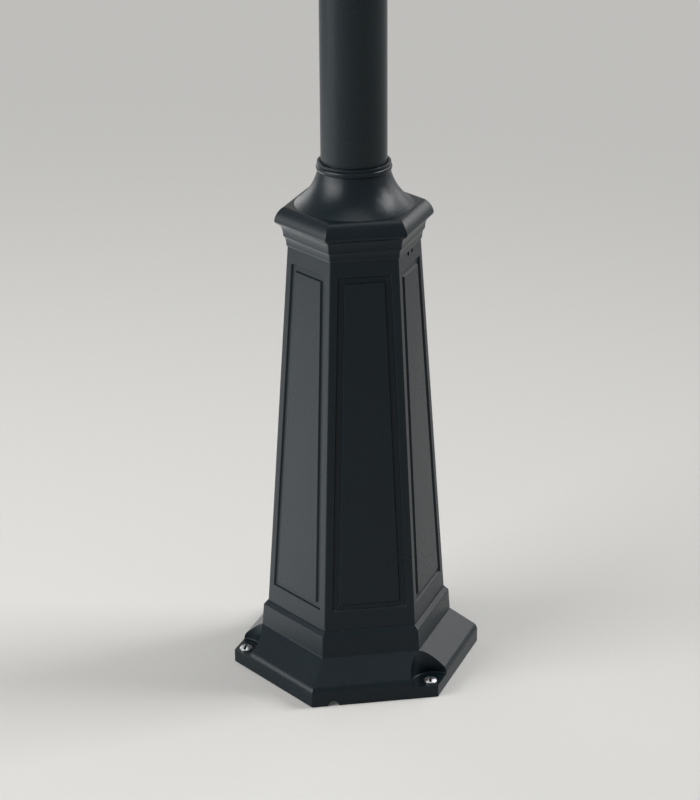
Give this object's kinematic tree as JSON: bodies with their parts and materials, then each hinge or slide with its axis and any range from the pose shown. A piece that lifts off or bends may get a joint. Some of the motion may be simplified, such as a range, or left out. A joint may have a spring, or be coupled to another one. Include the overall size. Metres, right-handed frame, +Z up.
{
  "type": "lantern lamp post",
  "caption": "Six-sided panelled pedestal with mitred mouldings and a round post that carries a tapered six-sided lantern with a lift-off roof.",
  "frame": {"origin": "centre of the foot's underside, on the ground", "axes": "+Z up the post; -Y is the outward normal of one flat side of the six-sided pedestal; corners lie on the X axis"},
  "size_m": [0.273, 0.2364, 2.1904],
  "materials": {
    "casting": "satin black powder coat on cast aluminium, very fine texture",
    "tube_paint": "satin black powder coat on steel tube",
    "dark_screws": "blackened steel",
    "bright_screws": "plain stainless steel",
    "plain_steel": "zinc-plated steel",
    "seal_rubber": "matt black rubber",
    "clear_glass": "clear flat glass",
    "brass_trim": "plain turned brass",
    "holder_ceramic": "glazed white ceramic",
    "lamp_cap_metal": "bright screw cap",
    "lamp_opal": "opal glass",
    "block_plastic": "natural white plastic"
  },
  "bodies": {
    "post": {"foot_casting": "casting", "body_casting": "casting", "crown_casting": "casting", "crown_set_screws": "dark_screws", "ground_screws": "bright_screws", "post_tube": "tube_paint", "tube_anchor": "plain_steel", "neck_seal": "seal_rubber", "tie_rod": "plain_steel", "tie_rod_washer": "plain_steel", "tie_rod_nut": "plain_steel", "fitter_casting": "casting", "fitter_set_screws": "dark_screws", "tray_casting": "casting", "tray_bolts": "bright_screws", "cage_frame": "casting", "glass_pane_1": "clear_glass", "glass_pane_2": "clear_glass", "glass_pane_3": "clear_glass", "glass_pane_4": "clear_glass", "glass_pane_5": "clear_glass", "glass_pane_6": "clear_glass", "pane_clips": "bright_screws", "lamp_bracket": "plain_steel", "bracket_screws": "bright_screws", "lamp_nipple": "brass_trim", "nipple_nut": "brass_trim", "lampholder": "holder_ceramic", "lamp_cap": "lamp_cap_metal", "lamp_globe": "lamp_opal", "terminal_block": "block_plastic", "earth_screw": "brass_trim"},
    "roof": {"roof_shell": "casting", "roof_screws": "dark_screws", "vent_drum": "casting", "vent_cap": "casting", "finial": "casting", "finial_stud": "plain_steel", "stud_nut": "plain_steel"}
  },
  "joints": [
    {"name": "roof_lift", "type": "slide", "parent": "post", "child": "roof", "axis": [0, 0, 1], "range_m": [0, 0.12]}
  ]
}
